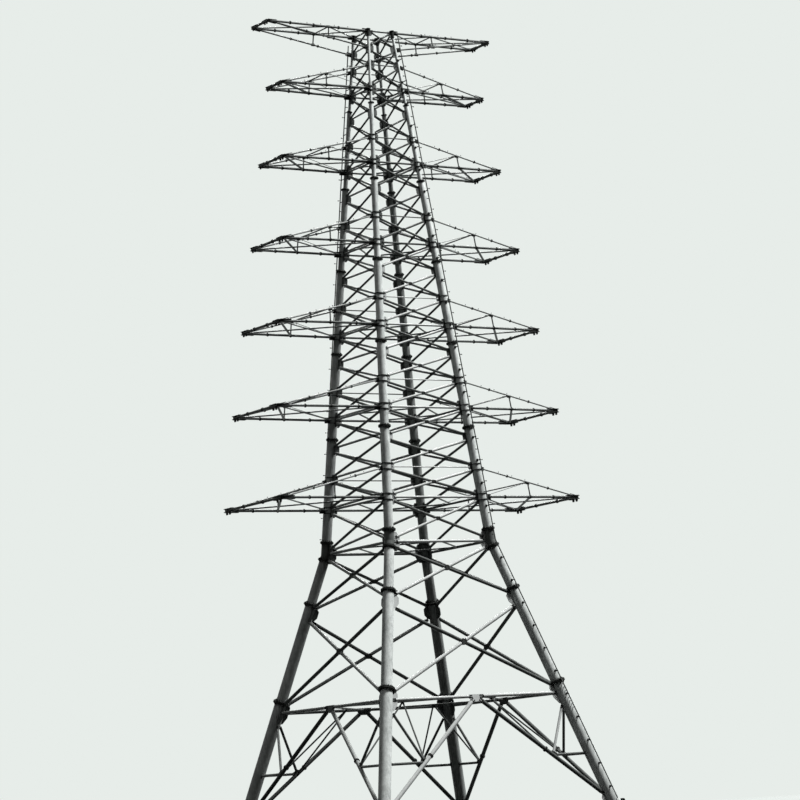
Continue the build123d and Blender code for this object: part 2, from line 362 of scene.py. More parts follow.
def buildGrimeGroup():
    # Dust that lies on upward faces, and rust specks in patches
    sockets = dict(Dust="Float", Rust="Float")
    group, inside, outside = newGroup("fieldGrime", sockets, sockets)
    place = newNode(group, "TexCoord").outputs["Object"]
    split = newNode(group, "SeparateXYZ")
    wire(group, newNode(group, "NewGeometry").outputs["Normal"], split.inputs["Vector"])
    facingUp = rangeNode(group, split.outputs["Z"], *grime["facingUp"])
    drift, specks, patches = (noiseMask(group, place, *grime[key]) for key in ("drift", "specks", "patches"))
    for socketName, first, second in (("Dust", facingUp, drift), ("Rust", specks, patches)):
        mask = mathNode(group, "MULTIPLY", first, second)
        wire(group, mathNode(group, "MULTIPLY", mask, inside.outputs[socketName]), outside.inputs[socketName])
    return group


zincGroup = buildZincGroup()
grimeGroup = buildGrimeGroup()


def zinc(fresh, dull, **changes):
    # Colours where the zinc is fresh and where it is dull, and what differs from the common finish
    return dict(fresh=(*fresh, 1), dull=(*dull, 1), patches=0.8, dust=0.2, rust=0.15, metallic=0.02,
                sheen=0.05, bump=0.005) | changes


finishes = dict(
    legZinc=zinc((0.76, 0.80, 0.78), (0.24, 0.26, 0.25), patches=0.9, metallic=0.01, bump=0.006),
    # Darker copies of the leg zinc for the far legs: painted shade
    legPaintedShade=zinc((0.56, 0.59, 0.575), (0.18, 0.19, 0.185), sheen=0.06, bump=0.006),
    legPaintedDeepShade=zinc((0.32, 0.34, 0.33), (0.10, 0.106, 0.103), bump=0.006),
    kneeZinc=zinc((0.13, 0.14, 0.135), (0.05, 0.055, 0.052), patches=0.9, dust=0.15, rust=0.2, bump=0.006),
    braceZinc=zinc((0.46, 0.48, 0.47), (0.27, 0.285, 0.28), patches=0.7, sheen=0.08),
    # Copies of the brace zinc by how the light falls on a bar: painted half light, and painted shade
    bracePaintedHalfLight=zinc((0.33, 0.35, 0.34), (0.11, 0.118, 0.114), sheen=0.06),
    bracePaintedShade=zinc((0.11, 0.118, 0.114), (0.04, 0.044, 0.042), dust=0.08, rust=0.2, metallic=0.01,
                   sheen=0.04),
    armZinc=zinc((0.14, 0.15, 0.146), (0.045, 0.05, 0.047), dust=0.1, rust=0.2, metallic=0.01, sheen=0.04),
    plateZinc=zinc((0.035, 0.038, 0.036), (0.012, 0.013, 0.012), patches=0.9, dust=0.06, rust=0.25,
                   metallic=0.01, sheen=0.03),
    boltZinc=zinc((0.05, 0.055, 0.052), (0.02, 0.022, 0.021), dust=0.06, rust=0.4, bump=0.004),
    railZinc=zinc((0.13, 0.14, 0.135), (0.06, 0.065, 0.062), dust=0.1, rust=0.2, bump=0.004),
)


def groupNode(tree, group, look, keys):
    node = newNode(tree, "Group")
    node.node_tree = group
    for key in keys:
        node.inputs[key.capitalize()].default_value = look[key]
    return node


def buildFinish(name, look):
    material = bpy.data.materials.new(name)
    material.use_nodes = True
    tree = material.node_tree
    shader = next(n for n in tree.nodes if n.type == "BSDF_PRINCIPLED")
    zincNode = groupNode(tree, zincGroup, look, ("fresh", "dull", "patches"))
    grimeNode = groupNode(tree, grimeGroup, look, ("dust", "rust"))
    dust, rust = grimeNode.outputs["Dust"], grimeNode.outputs["Rust"]
    colour = mixColour(tree, dust, zincNode.outputs["Color"], grime["dustTone"])
    wire(tree, mixColour(tree, rust, colour, grime["rustTone"]), shader.inputs["Base Color"])
    roughness = mathNode(tree, "MAXIMUM", zincNode.outputs["Roughness"], rust)
    wire(tree, roughness, shader.inputs["Roughness"])
    shader.inputs["Metallic"].default_value = look["metallic"]
    shader.inputs["Specular IOR Level"].default_value = look["sheen"]
    bump = newNode(tree, "Bump", Strength=patina["relief"], Distance=look["bump"])
    wire(tree, zincNode.outputs["Height"], bump.inputs["Height"])
    wire(tree, bump.outputs["Normal"], shader.inputs["Normal"])
    return material


materials = {name: buildFinish(name, look) for name, look in finishes.items()}
print("materials made:", len(materials))


def newObject(name, data):
    made = bpy.data.objects.new(name, data)
    bpy.context.scene.collection.objects.link(made)
    return made


def placePieces(build, sizes, name, replaced, places):
    # A piece is modelled once, then turned about the tower's axis into its places
    mesh = bmesh.new()
    build(mesh, *sizes)
    bmesh.ops.recalc_face_normals(mesh, faces=mesh.faces)
    for place, (turn, tubes, *others) in places.items():
        copy = mesh.copy()
        spin = Matrix.Rotation(math.radians(turn), 3, "Z")
        bmesh.ops.rotate(copy, verts=copy.verts, matrix=spin)
        data = bpy.data.meshes.new(name.format(place))
        copy.to_mesh(data)
        copy.free()
        piece = newObject(name.format(place), data)
        for finish in (tubes, "plateZinc", "boltZinc", *(others or ("kneeZinc", "bracePaintedShade"))):
            data.materials.append(materials[finish])
        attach(piece, "root")
        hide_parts(replaced.format(place))
    mesh.free()


# Lower legs. An anchor's washer, two nuts and thread are given by start, end, radius and sides.

lowerLeg = dict(
    tubeStart=-0.2, tubes=[0.450, 0.410, 0.370], flangeOffset=0.39, waistFlangeBelow=0.21,
    lip=0.18, flangeDepth=0.17, flangeRib=0.22, flangeBolts=16, sides=28,
    plateSide=0.98, plateDepth=0.06, cornerCut=0.07, anchorSpacing=0.76,
    anchor=[(0, 0.01, 0.055, 16), (0, 0.05, 0.042, 6), (0.05, 0.085, 0.042, 6), (0.085, 0.16, 0.025, 10)],
    ribs=8, ribStart=0.2, ribWidths=(0.27, 0.22), ribToe=0.06, ribTop=0.05,
    ribHeight=0.42, ribDepth=0.02,
)
lowerJoint = waist - lowerLeg["waistFlangeBelow"]
lowerCuts = [0, belt + lowerLeg["flangeOffset"], middle + lowerLeg["flangeOffset"], lowerJoint]


def addLegFlange(mesh, height, axis, wide, bolts):
    # Flange of a leg joint, in proportion to its tube
    addFlange(mesh, legPoint(height), axis, wide / 2, wide * lowerLeg["lip"],
              wide * lowerLeg["flangeDepth"], bolts, bolts, wide * lowerLeg["flangeRib"])


def addFootPlate(mesh):
    # Square plate with cut corners, anchor bolts, and ribs up the tube
    foot, thick = legPoint(0), lowerLeg["plateDepth"]
    half = lowerLeg["plateSide"] / 2
    inner = half - lowerLeg["cornerCut"]
    outline = [(-inner, -half), (inner, -half), (half, -inner), (half, inner),
               (inner, half), (-inner, half), (-half, inner), (-half, -inner)]
    addOutline(mesh, [foot + Vector((x, y, thick / 2)) for x, y in outline], thick)
    reach = lowerLeg["anchorSpacing"] / 2
    for x in (-reach, reach):
        for y in (-reach, reach):
            stud = foot + Vector((x, y, thick))
            for low, high, radius, sides in lowerLeg["anchor"]:
                addRod(mesh, stud + up * low, stud + up * high, radius, sides, boltSlot)
    for i in range(lowerLeg["ribs"]):
        outward = spoke(Matrix.Identity(4), i, lowerLeg["ribs"])
        root = foot + up * thick + outward * lowerLeg["ribStart"]
        toe, head = root + outward * lowerLeg["ribWidths"][i % 2], root + up * lowerLeg["ribHeight"]
        corners = [root, toe, toe + up * lowerLeg["ribToe"], head + outward * lowerLeg["ribTop"], head]
        addOutline(mesh, corners, lowerLeg["ribDepth"])


def buildLowerLeg(mesh):
    for low, high, wide in zip([lowerLeg["tubeStart"]] + lowerCuts[1:-1], lowerCuts[1:], lowerLeg["tubes"]):
        addRod(mesh, legPoint(low), legPoint(high), wide / 2, lowerLeg["sides"])
    # The tube starts below the ground and is cut level inside the foot plate
    trimmed = bmesh.ops.bisect_plane(
        mesh, geom=mesh.verts[:] + mesh.edges[:] + mesh.faces[:], dist=0.0001,
        plane_co=up * (lowerLeg["plateDepth"] / 2), plane_no=up, clear_inner=True)
    rim = [item for item in trimmed["geom_cut"] if isinstance(item, bmesh.types.BMEdge)]
    bmesh.ops.edgeloop_fill(mesh, edges=rim)
    for height, wide in zip(lowerCuts[1:-1], lowerLeg["tubes"]):
        addLegFlange(mesh, height, legAxis(height), wide, lowerLeg["flangeBolts"])
    addFootPlate(mesh)


placePieces(buildLowerLeg, (), "lowerLeg_{}", "lower_leg_{}", legPlaces)
print("lower legs made")

# Upper legs: a bent knee piece at the waist, then straight tubes that get thinner

upperLeg = dict(
    tubes=[0.345, 0.320, 0.290, 0.240, 0.170, 0.110], waistFlangeAbove=0.44, flangeBolts=14,
    slimTube=0.2, slimBolts=8, collarLip=0.03, collarDepth=0.022, collarSpread=0.1054,
    collarLeast=0.55, crownSleeve=0.3, crownGap=0.004, sleeveLip=0.008, capLip=0.04,
    capDepth=0.024, sides=24,
)
joinedLevels = levels[3:len(levels) - len(tower["crownPanels"]):tower["panelsPerBay"]]
upperCuts = [waist + upperLeg["waistFlangeAbove"]]
upperCuts += [height + lowerLeg["flangeOffset"] for height in joinedLevels] + [topHeight]


def legRadius(height):
    # Outside radius of the leg tube at a height
    for cuts, tubes in ((lowerCuts, lowerLeg["tubes"]), (upperCuts, upperLeg["tubes"])):
        for low, high, wide in zip(cuts[:-1], cuts[1:], tubes):
            if low <= height < high:
                return wide / 2
    return lowerLeg["tubes"][-1] / 2 if height < topHeight else upperLeg["tubes"][-1] / 2


def buildUpperLeg(mesh):
    knee = legPoint(waist)
    kneeTube, crownTube = lowerLeg["tubes"][-1], upperLeg["tubes"][-1]
    below, above = legAxis(waist - 1), legAxis(topHeight)
    mitre = kneeTube / 2 * math.tan(below.angle(above) / 2)
    for start, end in ((legPoint(lowerJoint), knee + below * mitre),
                       (knee - above * mitre, legPoint(upperCuts[0]))):
        addRod(mesh, start, end, kneeTube / 2, lowerLeg["sides"], otherSlot)
    addLegFlange(mesh, lowerJoint, below, kneeTube, lowerLeg["flangeBolts"])
    for low, high, wide in zip(upperCuts[:-1], upperCuts[1:], upperLeg["tubes"]):
        addRod(mesh, legPoint(low), legPoint(high), wide / 2, upperLeg["sides"])
    for height, wide in zip(upperCuts[:-1], [kneeTube] + upperLeg["tubes"]):
        bolts = upperLeg["flangeBolts"] if wide > upperLeg["slimTube"] else upperLeg["slimBolts"]
        addLegFlange(mesh, height, above, wide, bolts)
    crown = legPoint(topHeight)
    addRod(mesh, crown - above * upperLeg["crownSleeve"], crown - above * upperLeg["crownGap"],
           crownTube / 2 + upperLeg["sleeveLip"], upperLeg["sides"], plateSlot)
    addRing(mesh, crown - above * (upperLeg["capDepth"] / 2), above, crownTube / 2 + upperLeg["capLip"],
            upperLeg["capDepth"])
    for height in armLevels + armHeads[:-1]:
        share = upperLeg["collarLeast"] + legRadius(height) / upperLeg["tubes"][0]
        for way in (-1, 1):
            level = height + way * upperLeg["collarSpread"] * share
            addRing(mesh, legPoint(level), above, legRadius(level) + upperLeg["collarLip"],
                    upperLeg["collarDepth"])


placePieces(buildUpperLeg, (), "upperLeg_{}", "upper_leg_{}", legPlaces)
print("upper legs made")

# Gusset plates where the bars meet the legs. Each kind has its reach out from the leg and its half
# height; cut and blunt shape the ends of its ear, and the shares place the bars on it.

gusset = dict(
    belt=(0.24, 0.42), mid=(0.24, 0.27), waist=(0.26, 0.36), foot=(0.2, 0.3), tie=(0.06, 0.1),
    arm=(0.21, 0.28), head=(0.17, 0.2), plain=(0.16, 0.2), lighter=0.95, depth=0.026,
    sink=0.8, cut=0.45, blunt=0.3, braceShare=0.5, braceTongue=0.55, levelShare=0.6,
    levelTongue=0.5, levelBolts=2, leastSlope=0.35, levelSlack=1.1,
)


def gussetSize(height):
    # How far the gusset at a level stands out from the leg, and its half height
    for level, kind in ((belt, "belt"), (middle, "mid"), (waist, "waist"), (footBay["braceStart"], "foot")):
        if abs(height - level) < footBay["setback"] * gusset["levelSlack"]:
            return gusset[kind]
    if height < belt:
        return gusset["tie"]
    kind = "plain"
    for group, name in ((armLevels, "arm"), (armHeads, "head")):
        if min(abs(height - level) for level in group) < footBay["setback"]:
            kind = name
    share = lighterUpward(height, 1, gusset["lighter"])
    return gusset[kind][0] * share, gusset[kind][1] * share


def gussetInset(height, way, axis):
    # Distance along a bar from the leg's axis to the middle of the gusset's ear
    reach = legRadius(height) + gussetSize(height)[0] * gusset["braceShare"]
    return reach / max(gusset["leastSlope"], way.cross(axis).length)


def addGusset(mesh, corner, height, above=True, below=True):
    # A gusset takes its side's main finish at the near corner and below the waist, else its second: copies of
    # zinc lighter or darker by how light falls, painted light and shade
    slot = tubeSlot if corner == near or height <= waist else otherSlot
    axis = legAxis(height + (0.01 if above else -0.01), corner)
    inward = Vector((-corner[0], 0, 0))
    centre, radius = legPoint(height, corner), legRadius(height)
    ear, tall = gussetSize(height)
    root = radius * gusset["sink"]
    low = -tall if below else -ear * gusset["blunt"]
    high = tall if above else ear * gusset["blunt"]
    lowReach, highReach = (ear * (gusset["cut"] if full else 1) for full in (below, above))
    outline = [(root, high), (radius + highReach, high), (radius + ear, high * gusset["cut"]),
               (radius + ear, low * gusset["cut"]), (radius + lowReach, low), (root, low)]
    addOutline(mesh, [centre + inward * x + axis * z for x, z in outline], gusset["depth"], slot)


def addLevelBar(mesh, height, radius, facing, bolt):
    # Horizontal of the front side between its two legs
    ear = gussetSize(height)[0]
    inset, tongue = legRadius(height) + ear * gusset["levelShare"], ear * gusset["levelTongue"]
    addBar(mesh, legPoint(height), legPoint(height, right), radius, facing, (inset, inset),
           (tongue, tongue), gusset["levelBolts"], bolt, levelSlot)


# Foot bay: an inverted V of heavy tubes on each side, tied back to the legs. A bar has a radius, its
# tongues from the leg to the middle, and its bolts; the plates are outlines in the side's own plane.

footBay = dict(
    brace=(0.075, (0.16, 0.14), 3, 0.02), belt=(0.06, (0.12, 0.14), 3, 0.02),
    strut=(0.05, (0.12, 0.06), 2, 0.016), tie=(0.05, (0.05, 0.07), 1, 0.016), braceStart=0.42,
    setback=0.13, node=0.44, apexInset=0.3, strutInset=0.12, tieGap=0.05, tieInset=0.14,
    jointPlace=0.36, joint=(0.03, 0.05, 8), plateDepth=0.03,
    nodePlate=[(0.2, 0), (0.09, 0.15), (-0.13, 0.17), (-0.22, 0)],
    apexPlate=[(-0.3, 0.07), (0.3, 0.07), (0.3, -0.06), (0.2, -0.2), (-0.2, -0.2), (-0.3, -0.06)],
)


def addFootBar(mesh, start, end, insets, kind, slot):
    radius, *ends = footBay[kind]
    addBar(mesh, start, end, radius, lowerFacing, insets, *ends, slot)


def buildFootBay(mesh):
    apex = between(legPoint(belt), legPoint(belt, right), 0.5)
    # The braces and struts from the two legs take the side's two finishes crosswise, copies of zinc lighter
    # or darker by how light falls: painted light and shade
    for corner, slot, strutSlot in ((near, tubeSlot, otherSlot), (right, otherSlot, tubeSlot)):
        axis = legAxis(1, corner)
        start = legPoint(footBay["braceStart"], corner)
        node = between(start, apex, footBay["node"])
        way = heading(start, apex)
        insets = (gussetInset(start.z, way, axis), footBay["apexInset"])
        addFootBar(mesh, start, apex, insets, "brace", slot)
        top = legPoint(belt - footBay["setback"], corner)
        insets = (gussetInset(belt, heading(top, node), axis), footBay["strutInset"])
        addFootBar(mesh, top, node, insets, "strut", strutSlot)
        tie = legPoint(node.z, corner)
        insets = (legRadius(node.z) + footBay["tieGap"], footBay["tieInset"])
        addFootBar(mesh, tie, node, insets, "tie", otherSlot)
        insets = (legRadius(belt) + gusset["belt"][0] * gusset["levelShare"], footBay["apexInset"])
        addFootBar(mesh, legPoint(belt, corner), apex, insets, "belt", levelSlot)
        addFlange(mesh, node + way * footBay["jointPlace"], way, footBay["brace"][0], *footBay["joint"])
        across = way.cross(lowerFacing).normalized() * corner[0]
        corners = [node + way * x + across * y for x, y in footBay["nodePlate"]]
        addOutline(mesh, corners, footBay["plateDepth"])
        addGusset(mesh, corner, footBay["braceStart"], True, False)
        addGusset(mesh, corner, belt)
        addGusset(mesh, corner, node.z)
    rise = (up - lowerFacing * up.dot(lowerFacing)).normalized()
    addOutline(mesh, [apex + Vector((x, 0, 0)) + rise * z for x, z in footBay["apexPlate"]],
               footBay["plateDepth"], tubeSlot)


placePieces(buildFootBay, (), "footBay_{}", "foot_bay_{}", sidePlaces)
print("foot bays made")


def addPanel(mesh, low, high, width, setback, facing, bolts, bolt):
    # One cross-braced panel of the front side, with its splice plate
    starts = [legPoint(low + setback), legPoint(low + setback, right)]
    ends = [legPoint(high - setback, right), legPoint(high - setback)]
    radius = width / 2
    ways = [heading(start, end) for start, end in zip(starts, ends)]
    tongues = [gussetSize(level)[0] * gusset["braceTongue"] for level in (low, high)]
    # The bars from the near and the right leg take the side's two finishes, copies of zinc lighter or darker
    # by how light falls on them: painted light and shade
    for start, end, way, corner, slot in zip(starts, ends, ways, (near, right), (tubeSlot, otherSlot)):
        axis = legAxis((low + high) / 2, corner)
        insets = (gussetInset(low, way, axis), gussetInset(high, way, axis))
        addBar(mesh, start, end, radius, facing, insets, tongues, bolts, bolt, slot)
    wide, narrow = halfWidth(low + setback), halfWidth(high - setback)
    centre = between(starts[0], ends[0], wide / (wide + narrow))
    addCrossing(mesh, centre, ways, facing, radius)


# Waist bay: two crossed panels and the waist horizontal on each side

waistBay = dict(lowerBrace=0.135, upperBrace=0.12, bar=0.11, setback=0.13, bolts=3, bolt=0.018)


def buildWaistBay(mesh):
    setback, bolts, bolt = (waistBay[key] for key in ("setback", "bolts", "bolt"))
    for low, high, key in ((belt, middle, "lowerBrace"), (middle, waist, "upperBrace")):
        addPanel(mesh, low, high, waistBay[key], setback, lowerFacing, bolts, bolt)
    addLevelBar(mesh, waist, waistBay["bar"] / 2, lowerFacing, bolt)
    for corner in (near, right):
        addGusset(mesh, corner, middle)
        addGusset(mesh, corner, waist)


placePieces(buildWaistBay, (), "waistBay_{}", "waist_bay_{}", sidePlaces)
print("waist bays made")

# Upper body: cross-braced panels, lighter towards the top

bodySide = dict(braceLow=0.100, braceHigh=0.064, ringLow=0.090, ringHigh=0.064, headBar=0.045,
                setback=0.064, bolts=2, boltLow=0.013, boltHigh=0.009)
# From the fourth arm up all bars of the front side take the painted-shade copy
sections = {"Lower": (waist, armLevels[3], sidePlaces),
            "Upper": (armLevels[3], topHeight, {**sidePlaces, "front": (0, *paintedShadeSide)})}


def buildBodySide(mesh, start, end, rings):
    for low, high in zip(levels[:-1], levels[1:]):
        if not start <= low < end:
            continue
        width = lighterUpward(low, bodySide["braceLow"], bodySide["braceHigh"])
        bolt = lighterUpward(low, bodySide["boltLow"], bodySide["boltHigh"])
        addPanel(mesh, low, high, width, bodySide["setback"], upperFacing, bodySide["bolts"], bolt)
        for corner in (near, right):
            if low > waist:
                addGusset(mesh, corner, low)
            if high == topHeight:
                addGusset(mesh, corner, topRing, False, True)
    for height in rings:
        if start <= height < end:
            width = lighterUpward(height, bodySide["ringLow"], bodySide["ringHigh"])
            if height in armHeads:
                width = bodySide["headBar"]
            addLevelBar(mesh, height, width / 2, upperFacing, bodySide["boltHigh"])


for section, (start, end, places) in sections.items():
    for rings, sides in ((armLevels + armHeads + [topRing], ("front", "back")),
                         (armLevels + [topRing], ("right", "left"))):
        placePieces(buildBodySide, (start, end, rings), f"body{section}_{{}}", f"body_{section.lower()}_{{}}",
                    {side: places[side] for side in sides})
print("body sides made")

# Level frames: a diamond of bars between the middles of the horizontals. Insets, tongues and the plate
# are in lugs. The belt's frame has hip bars too, from the diamond down to the foot braces' nodes.

levelFrame = dict(
    bar=0.03, lug=0.14, inset=1.6, tongue=0.9,
    plate=[(1.5, 0), (-1.5, 0), (-1.2, 1.2), (1.2, 1.2)], plateDepth=0.02,
    hip=0.032, hipInsets=(0.1, 0.12), hipTongue=0.09,
    hipPlate=[(-0.26, 0), (0.26, 0), (0.12, -0.2), (-0.12, -0.2)], hipPlateDepth=0.03,
)
frameLevels = dict(belt=belt, waist=waist) | {f"arm_{i + 1}": level for i, level in enumerate(armLevels)}


def buildLevelFrame(mesh, height):
    half = halfWidth(height)
    middles = [Vector((x * half, y * half, height)) for x, y in ((1, 0), (0, 1), (-1, 0), (0, -1))]
    lug = min(levelFrame["lug"], half * levelFrame["lug"])
    inset = lug * levelFrame["inset"]
    for a, b in zip(middles, middles[1:] + middles[:1]):
        addLightBar(mesh, a, b, levelFrame["bar"], (inset, inset), lug * levelFrame["tongue"])
    for a in middles:
        inward = -Vector((a.x, a.y, 0)).normalized()
        along = inward.cross(up)
        addOutline(mesh, [a + (along * x + inward * y) * lug for x, y in levelFrame["plate"]],
                   levelFrame["plateDepth"])
    if height == belt:
        addHipBars(mesh)


def addHipBars(mesh):
    half = halfWidth(belt)
    root = Vector((-half / 2, -half / 2, belt))
    inward, along = Vector((1, 1, 0)).normalized(), Vector((1, -1, 0)).normalized()
    plate = [root + along * x + inward * y for x, y in levelFrame["hipPlate"]]
    front = between(legPoint(footBay["braceStart"]), Vector((0, -half, belt)), footBay["node"])
    for turn in range(4):
        spin = Matrix.Rotation(math.pi / 2 * turn, 3, "Z")
        addOutline(mesh, [spin @ corner for corner in plate], levelFrame["hipPlateDepth"])
        for node in (front, Vector((front.y, front.x, front.z))):
            addLightBar(mesh, spin @ root, spin @ node, levelFrame["hip"], levelFrame["hipInsets"],
                        levelFrame["hipTongue"])


for name, height in frameLevels.items():
    placePieces(buildLevelFrame, (height,), "levelFrame_{}", "level_frame_{}",
                {name: (0, "bracePaintedShade")})
print("level frames made")

# Crossarms. Joints have a lip, a depth and bolts, and sit at shares of a chord; a peg is given by
# start, end and radius; plates have a length, a width and a depth, and a place along the chord.

arm = dict(
    reach=[6.49, 6.17, 5.71, 5.22, 4.82, 4.49], endHalf=[2.04, 1.59, 1.37, 1.16, 0.895, 0.565],
    chordBottom=0.092, chordTop=0.06, endBar=0.1, beamSides=14, beamGap=0.02, spreader=0.086,
    diagonal=0.055, lacing=0.05, lightLacing=0.022, tipPlateLow=0.54, tipPlateHigh=0.38,
    rootGap=0.16, headGap=0.13, tipGap=0.1, postInset=0.07, crossInset=0.05, spreaderInset=0.14,
    chordTongue=0.2, chordBolts=(2, 0.012), tongueShare=0.8, joint=(0.024, 0.034, 6),
    beamJoints=(0.33, 0.67), lowJoints=(0.24, 0.5, 0.74), highJoints=(0.3, 0.7), pegStart=0.4,
    pegSpacing=0.6, pegEnd=0.8, peg=[(0, 0.035, 0.009), (0.035, 0.047, 0.017)],
    rootPlace=0.1, middleDrop=0.03, headPlace=0.07, tipPlace=0.2,
)
topArm = dict(
    reach=4.94, endHalf=0.575, chord=0.084, node=0.4, lowInset=0.2, highInset=0.16, postInset=0.06,
    tipInset=0.1, lowJoints=(0.35, 0.62), highJoints=(0.3, 0.55, 0.78), pegStart=0.3, tipPlace=0.18,
    rootPlace=0.14,
)
armPlates = dict(
    bottomMiddle=(0.3, 0.16, 0.02), topMiddle=(0.16, 0.12, 0.018), rootLevel=(0.26, 0.2, 0.022),
    rootUpright=(0.26, 0.22, 0.022), head=(0.2, 0.15, 0.022), tip=(0.34, 0.1, 0.03),
    topArmNode=(0.15, 0.1, 0.02), topArmTip=(0.32, 0.12, 0.03), topArmRoot=(0.24, 0.17, 0.02),
)
# The box of plates at a tip, in units of its reach along the chord
tipPlate = dict(
    reach=4.6, cover=[(0, 0.75), (4.6, 0.45), (4.6, -0.45), (0, -0.75)], coverLevel=0.52,
    coverDepth=0.2, web=(1.0, 0.3), boltPlaces=(0.45, 0.85), boltAcross=0.3,
    bolt=(0.68, 0.13), lugPlaces=(0.8, 2.6), lugDrop=0.95, lugDepth=0.3,
    lug=[(-0.6, 0.5), (0.6, 0.5), (0.35, -0.5), (-0.35, -0.5)], pinDrop=0.15, pin=(0.3, 0.18),
)


def addJoints(mesh, start, end, radius, places):
    # Bolted flange joints at the given shares of a bar's length
    for share in places:
        addFlange(mesh, between(start, end, share), end - start, radius, *arm["joint"])


def addChord(mesh, start, end, radius, inset, joints, slot=tubeSlot):
    way = heading(start, end)
    first, last = start + way * inset, end - way * arm["tipGap"]
    addRod(mesh, first, last, radius, slot=slot)
    tongue = min(arm["chordTongue"], inset * arm["tongueShare"])
    addTongue(mesh, first, -way, up, radius, tongue, *arm["chordBolts"])
    addJoints(mesh, start, end, radius, joints)


def addStepBolts(mesh, start, end, radius, inset):
    # Footholds along the top of a chord
    way = heading(start, end)
    first, spacing = start + way * inset, arm["pegSpacing"]
    side = way.cross(up).normalized()
    lift = side.cross(way)
    for i in range(1, int((end - first).length * arm["pegEnd"] / spacing)):
        foot = first + way * (i * spacing) + lift * radius
        for low, high, wide in arm["peg"]:
            addRod(mesh, foot + lift * low, foot + lift * high, wide, hexagon, boltSlot)


def addLacing(mesh, start, end, width, inset, slot=tubeSlot):
    addLightBar(mesh, start, end, width / 2, (inset, inset), inset * arm["tongueShare"], slot)


def addTipPlates(mesh, tip, hand, inwardWays, reach):
    # Box of plates at a beam end that holds the chords together, with two lugs for the strings
    unit = reach / tipPlate["reach"]
    web, bolt, pin = ([size * unit for size in tipPlate[key]] for key in ("web", "bolt", "pin"))
    for way in inwardWays:
        side = way.cross(up).normalized()
        for level in (-tipPlate["coverLevel"], tipPlate["coverLevel"]):
            corners = [tip + (way * x + side * y + up * level) * unit for x, y in tipPlate["cover"]]
            addOutline(mesh, corners, tipPlate["coverDepth"] * unit)
        addPlate(mesh, tip + way * (reach / 2), way, side, reach, *web)
        for share in tipPlate["boltPlaces"]:
            for hold in (-tipPlate["boltAcross"], tipPlate["boltAcross"]):
                addBolt(mesh, tip + way * (reach * share) + side * hold * unit, up, *bolt)
    for shift in tipPlate["lugPlaces"]:
        lug = tip + Vector((0, -hand * shift, -tipPlate["lugDrop"])) * unit
        corners = [lug + Vector((0, y, z)) * unit for y, z in tipPlate["lug"]]
        addOutline(mesh, corners, tipPlate["lugDepth"] * unit)
        addBolt(mesh, lug - up * tipPlate["pinDrop"] * unit, Vector((1, 0, 0)), *pin)


def buildCrossarm(mesh, level, top, reach, endHalf):
    roots, heads = ([legPoint(height, corner) for corner in (near, back)] for height in (level, top))
    tips = [Vector((-reach, hand * endHalf, level)) for hand in (-1, 1)]
    bottomMid = [between(root, tip, 0.5) for root, tip in zip(roots, tips)]
    topMid = [between(head, tip, 0.5) for head, tip in zip(heads, tips)]
    rootInset = legRadius(level) + arm["rootGap"]
    beam = heading(*tips)
    short = beam * arm["beamGap"]
    endRadius, bottomRadius, topRadius = (arm[key] / 2 for key in ("endBar", "chordBottom", "chordTop"))
    addRod(mesh, tips[0] + short, tips[1] - short, endRadius, arm["beamSides"], otherSlot)
    addJoints(mesh, *tips, endRadius, arm["beamJoints"])
    tipReach = lighterUpward(level, arm["tipPlateLow"], arm["tipPlateHigh"])
    for root, head, tip, low, high, hand in zip(roots, heads, tips, bottomMid, topMid, (-1, 1)):
        addChord(mesh, root, tip, bottomRadius, rootInset, arm["lowJoints"])
        # The top chords take the half-light copy, lighter than the arm: painted light on their lit tops
        addChord(mesh, head, tip, topRadius, legRadius(top) + arm["headGap"], arm["highJoints"], levelSlot)
        addStepBolts(mesh, head, tip, topRadius, arm["pegStart"])
        addLacing(mesh, root, high, arm["lightLacing"], rootInset)
        addLacing(mesh, low, high, arm["lacing"], arm["postInset"])
        rootWay, headWay = heading(root, tip), heading(head, tip)
        rootPlate = root + rootWay * (legRadius(level) + arm["rootPlace"])
        headPlate = head + headWay * (legRadius(top) + arm["headPlace"])
        for name, centre, way, normal in (
                ("bottomMiddle", low, rootWay, up),
                ("topMiddle", high - up * arm["middleDrop"], headWay, alongLine),
                ("rootLevel", rootPlate, rootWay, up), ("rootUpright", rootPlate, rootWay, alongLine),
                ("head", headPlate, headWay, alongLine)):
            addPlate(mesh, centre, way, normal, *armPlates[name])
        addTipPlates(mesh, tip, hand, [-rootWay, beam * -hand], tipReach)
        addPlate(mesh, tip - headWay * arm["tipPlace"], headWay, alongLine, *armPlates["tip"])
    addLacing(mesh, *topMid, arm["lacing"], arm["crossInset"])
    addLacing(mesh, bottomMid[1], tips[0], arm["spreader"], arm["spreaderInset"], otherSlot)
    for root, tip in zip(roots[::-1], tips):
        addLacing(mesh, root, tip, arm["diagonal"], rootInset)


